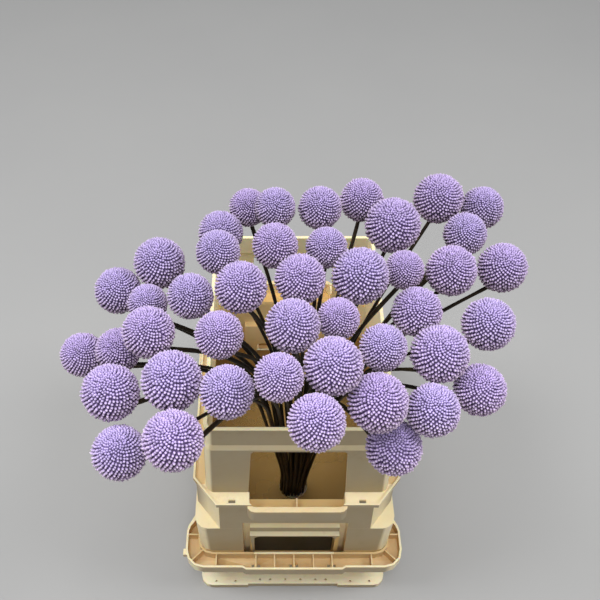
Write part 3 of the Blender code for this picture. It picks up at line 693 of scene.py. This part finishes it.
def stems_piece(heads, material):
    """All stems, each a tube of its own thickness from the water into its head."""
    random = np.random.default_rng(STEM_SEED)
    points, walls, ends = [], [], []
    for head, place in zip(heads, bundle_places(heads)):
        route = stem_route(head, place)
        thickness = STEM_RADIUS * random.uniform(*STEM_THICKNESS)
        radii = [thickness * (1 + STEM_UNEVENNESS * random.normal()) for _ in route]
        rings, sides, caps = tube(route, radii, STEM_SIDES)
        base = len(points)
        points += [tuple(point) for point in rings]
        walls += [[base + i for i in face] for face in sides]
        ends += [[base + i for i in face] for face in caps]
    mesh = mesh_from_arrays("stems_fine", np.array(points), [np.array(walls), np.array(ends)])
    piece = add_piece("stems_fine", mesh, material)
    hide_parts("stems")
    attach(piece, "root")


def hemisphere(count):
    """Directions over the upper half of a sphere, closer together round the pole."""
    directions = []
    for i in range(count):
        height = math.sqrt(1 - (i + 0.5) / count)
        out = math.sqrt(1 - height ** 2)
        turn = i * GOLDEN_ANGLE
        directions.append(Vector((out * math.cos(turn), out * math.sin(turn), height)))
    return directions


def holder_tree():
    """Search tree of the holder's two solids."""
    points, faces = [], []
    for node in ("collar", "tray"):
        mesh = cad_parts[node].data
        base = len(points)
        points += [vert.co.copy() for vert in mesh.vertices]
        faces += [[base + i for i in face.vertices] for face in mesh.polygons]
    return BVHTree.FromPolygons(points, faces)


def mark_recesses(mesh, tree):
    """Note on each face what share of its outlook the holder blocks."""
    rays = hemisphere(RECESS_RAYS)
    mesh.calc_loop_triangles()
    shares = [[] for _ in mesh.polygons]
    for triangle in mesh.loop_triangles:
        samples = shares[triangle.polygon_index]
        if triangle.area == 0 or len(samples) == RECESS_SAMPLES:
            continue
        turn = Vector(triangle.normal).to_track_quat("Z", "Y")
        start = Vector(triangle.center) + Vector(triangle.normal) * MM
        blocked = sum(tree.ray_cast(start, turn @ ray)[0] is not None for ray in rays)
        samples.append(blocked / len(rays))
    values = []
    for face, samples in zip(mesh.polygons, shares):
        value = sum(samples) / len(samples) if samples else 0.0
        # At the listed levels an upward face's share is scaled for deeper painted shade, or turned
        # below zero for painted light
        for bottom, top, part in SHADE_AND_LIGHT_LEVELS:
            if bottom < face.center.z < top and face.normal.z > FACES_UP:
                value *= part
        values.append(value)
    mesh.attributes.new("recess", "FLOAT", "FACE").data.foreach_set("value", values)


def sharpen_level_bends(mesh):
    """Keep long level edges crisp where a wall changes its slope by a few degrees."""
    form = bmesh.new()
    form.from_mesh(mesh)
    least, most = BEND_ANGLES
    bends = {edge for edge in form.edges
             if len(edge.link_faces) == 2
             and abs(edge.verts[0].co.z - edge.verts[1].co.z) < LEVEL_DIFFERENCE
             and least < math.degrees(edge.calc_face_angle()) < most}
    reached = [edge for edge in bends if edge.calc_length() > LONG_BEND]
    while reached:
        edge = reached.pop()
        bends.discard(edge)
        edge.smooth = False
        reached += [other for vert in edge.verts for other in vert.link_edges if other in bends]
    form.to_mesh(mesh)
    form.free()


def broad_mesh(node, name):
    """The node's mesh, with its points welded and its flat triangles merged."""
    form = bmesh.new()
    form.from_mesh(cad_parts[node].data)
    bmesh.ops.remove_doubles(form, verts=form.verts, dist=WELD_DISTANCE)
    bmesh.ops.dissolve_limit(form, angle_limit=math.radians(FLAT_ANGLE), verts=form.verts,
                             edges=form.edges, use_dissolve_boundaries=False)
    mesh = bpy.data.meshes.new(name)
    form.to_mesh(mesh)
    form.free()
    return mesh


def settle(piece):
    """Give the piece its evaluated mesh and drop its modifiers."""
    graph = bpy.context.evaluated_depsgraph_get()
    mesh = bpy.data.meshes.new_from_object(piece.evaluated_get(graph))
    piece.modifiers.clear()
    piece.data = mesh


def round_edges(piece, width):
    """Round the edges as a mould leaves them, and shade the broad faces as flat."""
    bevel = piece.modifiers.new("edges", "BEVEL")
    bevel.width = width
    bevel.segments = BEVEL_STEPS
    bevel.limit_method = "ANGLE"
    bevel.angle_limit = math.radians(BEVELLED_ANGLE)
    bevel.use_clamp_overlap = True
    settle(piece)
    piece.data.shade_smooth()
    piece.data.set_sharp_from_angle(angle=math.radians(SHARP_ANGLE))
    sharpen_level_bends(piece.data)
    weighted = piece.modifiers.new("broad_faces", "WEIGHTED_NORMAL")
    weighted.keep_sharp = True
    settle(piece)


def moulded_piece(node, name, material, width=0):
    """The node's form, with rounded edges and marked recesses where a width is given."""
    piece = add_piece(name, broad_mesh(node, name), material)
    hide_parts(node)
    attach(piece, "root")
    if width:
        round_edges(piece, width)
        mark_recesses(piece.data, holder_tree())


def add_camera():
    data = bpy.data.cameras.new("camera")
    data.lens = CAMERA_LENS
    data.sensor_width = SENSOR_WIDTH
    data.shift_x = SHIFT_PIXELS / PICTURE_WIDTH
    camera = bpy.data.objects.new("camera", data)
    camera.location = CAMERA_PLACE
    camera.rotation_euler = (math.radians(90 - CAMERA_PITCH), 0, 0)
    bpy.context.scene.collection.objects.link(camera)
    bpy.context.scene.camera = camera


def add_area(name, place, target, size, power):
    data = bpy.data.lights.new(name, "AREA")
    data.shape = "DISK"
    data.size = size
    data.energy = power
    light = bpy.data.objects.new(name, data)
    light.location = place
    light.rotation_euler = (Vector(target) - Vector(place)).to_track_quat("-Z", "Y").to_euler()
    bpy.context.scene.collection.objects.link(light)


def add_floor():
    mesh = bpy.data.meshes.new("floor")
    form = bmesh.new()
    bmesh.ops.create_grid(form, x_segments=1, y_segments=1, size=FLOOR_REACH)
    form.to_mesh(mesh)
    form.free()
    floor = add_piece("floor", mesh, floor_material())
    floor.location.z = -FLOOR_DROP


def add_studio():
    """Even light all round, and the area lights."""
    world = bpy.data.worlds.new("studio")
    world.use_nodes = True
    background = world.node_tree.nodes["Background"]
    background.inputs["Color"].default_value = STUDIO_COLOUR
    background.inputs["Strength"].default_value = STUDIO_STRENGTH
    bpy.context.scene.world = world
    for name, light in LIGHTS.items():
        add_area(name, *light)
    bpy.context.scene.view_settings.view_transform = "Standard"


def main():
    add_camera()
    add_floor()
    add_studio()
    florets = floret_material()
    heads = [Head(node) for node in sorted(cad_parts) if node.startswith("bloom_")]
    for number, head in enumerate(heads):
        head_piece(head, HEAD_SEED + number, florets)
    stems_piece(heads, stem_material())
    collar_plastic = plastic_material("cream_plastic", COLLAR_COLOURS, COLLAR_DARK_ZONES)
    tray_plastic = plastic_material("tray_plastic", TRAY_COLOURS, TRAY_DARK_ZONES)
    moulded_piece("collar", "collar_moulded", collar_plastic, COLLAR_EDGE)
    moulded_piece("tray", "tray_moulded", tray_plastic, TRAY_EDGE)
    moulded_piece("water", "water_still", water_material())


main()
